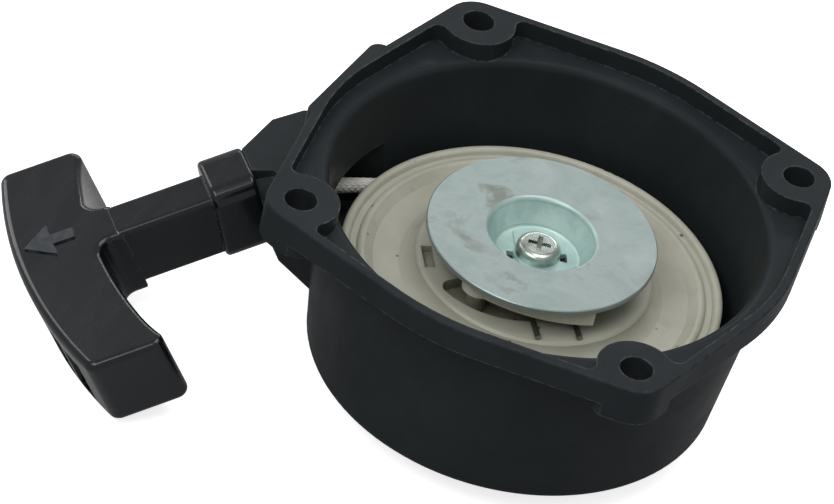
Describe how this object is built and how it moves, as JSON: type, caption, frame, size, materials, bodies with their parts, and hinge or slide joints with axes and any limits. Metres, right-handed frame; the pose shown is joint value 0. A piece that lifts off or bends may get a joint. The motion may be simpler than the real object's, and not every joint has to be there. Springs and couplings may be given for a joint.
{
  "type": "recoil starter",
  "caption": "Pull-rope starter for a small engine: drum case with square bolt flange, spring-returned rope reel with swing-out pawls, friction plate and T-shaped grip.",
  "frame": {"origin": "centre of the square of bolt holes, on the flange face that meets the engine, on the reel's axis", "axes": "+Z out of the open side, towards the engine; +X and +Y along the sides of the square of bolt holes"},
  "size_m": [0.1657, 0.1299, 0.0552],
  "materials": {
    "case_black": "satin, fine moulded grain",
    "grip_black": "smooth semi-gloss",
    "zinc_plate": "zinc plated, lightly stained",
    "screw_steel": "bright plated",
    "spring_steel": "oiled spring steel",
    "brass_insert": "machined",
    "reel_nylon": "natural nylon, satin",
    "bush": "satin",
    "pawl": "satin",
    "eyelet": "polished by the rope",
    "rope": "braided polyester"
  },
  "bodies": {
    "housing": {"housing_shell": "case_black", "rope_eyelet": "eyelet", "spring_case": "zinc_plate", "spring_cover": "zinc_plate", "recoil_spring": "spring_steel", "friction_plate": "zinc_plate", "clamp_washer": "zinc_plate", "centre_screw": "screw_steel", "thread_insert": "brass_insert", "rope_lead": "rope"},
    "reel": {"reel": "reel_nylon", "reel_bush": "bush", "rope_coil": "rope", "drag_spring": "spring_steel", "pawl_pin_a": "screw_steel", "pawl_pin_b": "screw_steel"},
    "pawl_a": {"pawl_a": "pawl"},
    "pawl_b": {"pawl_b": "pawl"},
    "handle": {"handle_grip": "grip_black", "knot_washer": "zinc_plate", "handle_rope": "rope"}
  },
  "joints": [
    {"name": "reel_spin", "type": "hinge", "parent": "housing", "child": "reel", "pos_m": [0, 0, -0.03], "axis": [0, 0, 1], "range_deg": [0, 1540], "stiffness_Nm_per_rad": 0.012, "springref_deg": -859.44},
    {"name": "handle_pull", "type": "slide", "parent": "housing", "child": "handle", "axis": [-0.6288, -0.6983, -0.342], "range_m": [0, 0.885]},
    {"name": "pawl_a_swing", "type": "hinge", "parent": "reel", "child": "pawl_a", "pos_m": [-0.00441, -0.0191, -0.01595], "axis": [0, 0, -1], "range_deg": [0, 14], "stiffness_Nm_per_rad": 0.002, "springref_deg": -11.46},
    {"name": "pawl_b_swing", "type": "hinge", "parent": "reel", "child": "pawl_b", "pos_m": [0.00441, 0.0191, -0.01595], "axis": [0, 0, -1], "range_deg": [0, 14]}
  ],
  "couplings": [
    {"joint": "handle_pull", "follows": "reel_spin", "m_per_rad": 0.0328},
    {"joint": "pawl_b_swing", "follows": "pawl_a_swing", "ratio": 1}
  ]
}
